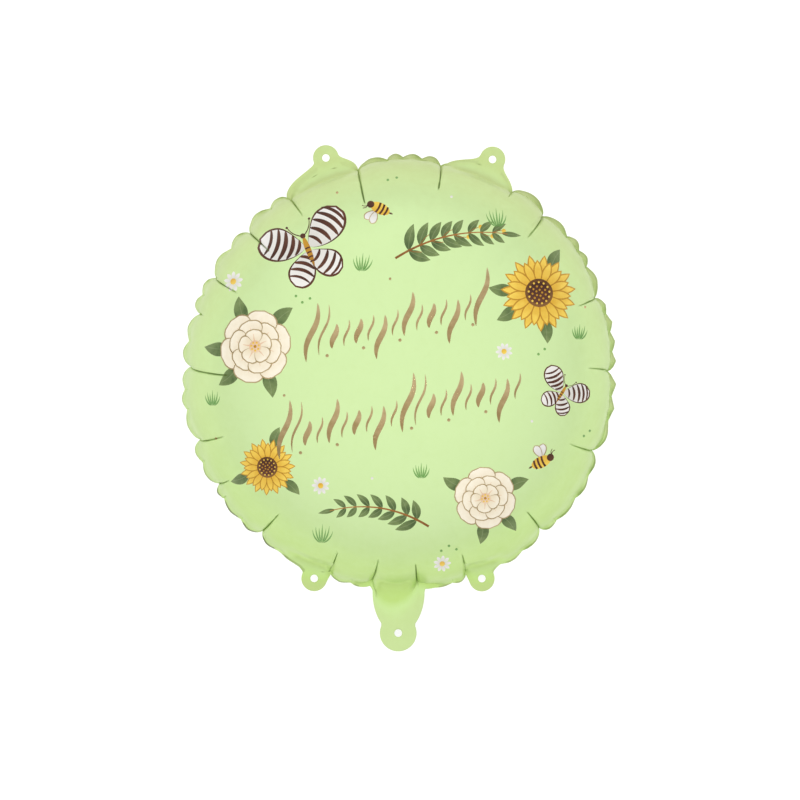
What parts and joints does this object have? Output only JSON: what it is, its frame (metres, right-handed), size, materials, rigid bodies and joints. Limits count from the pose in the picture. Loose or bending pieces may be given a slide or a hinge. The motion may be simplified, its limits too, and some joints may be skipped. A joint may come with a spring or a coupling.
{
  "type": "foil balloon",
  "caption": "Round foil balloon, blown up and sealed, with a wavy welded rim, hanging tabs with ribbon holes and a flat filling neck.",
  "frame": {"origin": "middle of the flat spot on the back, where the balloon lies", "axes": "+Z out of the printed front, +Y from the neck to the top of the print, +X to the right as seen from the front"},
  "size_m": [0.352, 0.411, 0.1858],
  "materials": {
    "printed_film": "satin print on thin metallised film"
  },
  "bodies": {
    "root": {"foil_balloon": "printed_film"}
  },
  "joints": []
}
